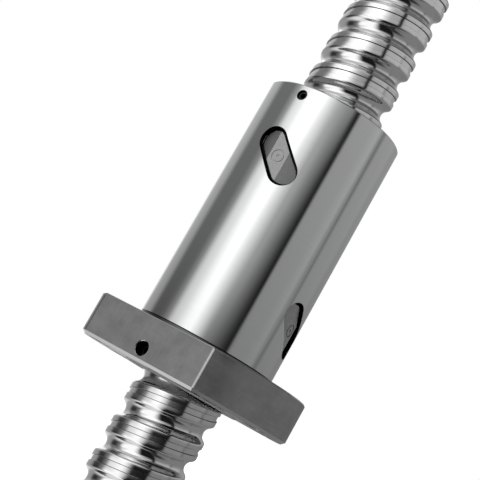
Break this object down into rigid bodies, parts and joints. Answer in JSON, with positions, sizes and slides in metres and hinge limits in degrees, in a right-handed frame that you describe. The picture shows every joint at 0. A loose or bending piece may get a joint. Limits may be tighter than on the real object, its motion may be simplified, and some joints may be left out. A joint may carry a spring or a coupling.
{
  "type": "ball screw nut",
  "caption": "Round flanged ball screw nut with bolt holes, return inserts in its barrel and end wipers, on a stretch of its threaded screw.",
  "frame": {"origin": "On the screw axis, in the plane of the flange's mounting face, from which the barrel stands up.", "axes": "+Z runs along the screw axis from the flange to the barrel's far end. X runs along the flange's two flats, and -Y faces the flat that holds the front wiper's set screw."},
  "size_m": [0.062, 0.048, 0.19],
  "materials": {
    "nut_steel": "finely ground",
    "insert_steel": "satin, sintered",
    "ball_steel": "polished",
    "wiper_plastic": "matt",
    "spring_steel": "drawn wire",
    "black_steel": "black oxide",
    "screw_steel": "polished, rolled thread"
  },
  "bodies": {
    "nut": {"nut_body": "nut_steel", "deflector_1": "insert_steel", "deflector_2": "insert_steel", "deflector_3": "insert_steel", "deflector_4": "insert_steel", "ball_circuit_1": "ball_steel", "ball_circuit_2": "ball_steel", "ball_circuit_3": "ball_steel", "ball_circuit_4": "ball_steel", "front_wiper": "wiper_plastic", "rear_wiper": "wiper_plastic", "front_set_screw": "black_steel", "rear_set_screw": "black_steel"},
    "wiper_springs": {"front_wiper_spring": "spring_steel", "rear_wiper_spring": "spring_steel"},
    "screw": {"screw_shaft": "screw_steel"}
  },
  "joints": [
    {"name": "screw_turn", "type": "hinge", "parent": "nut", "child": "wiper_springs", "pos_m": [0, 0, 0], "axis": [0, 0, 1], "range_deg": [-1980, 1440]},
    {"name": "screw_travel", "type": "slide", "parent": "wiper_springs", "child": "screw", "axis": [0, 0, 1], "range_m": [-0.0552, 0.0402]}
  ],
  "couplings": [
    {"joint": "screw_travel", "follows": "screw_turn", "m_per_rad": 0.0015915}
  ]
}
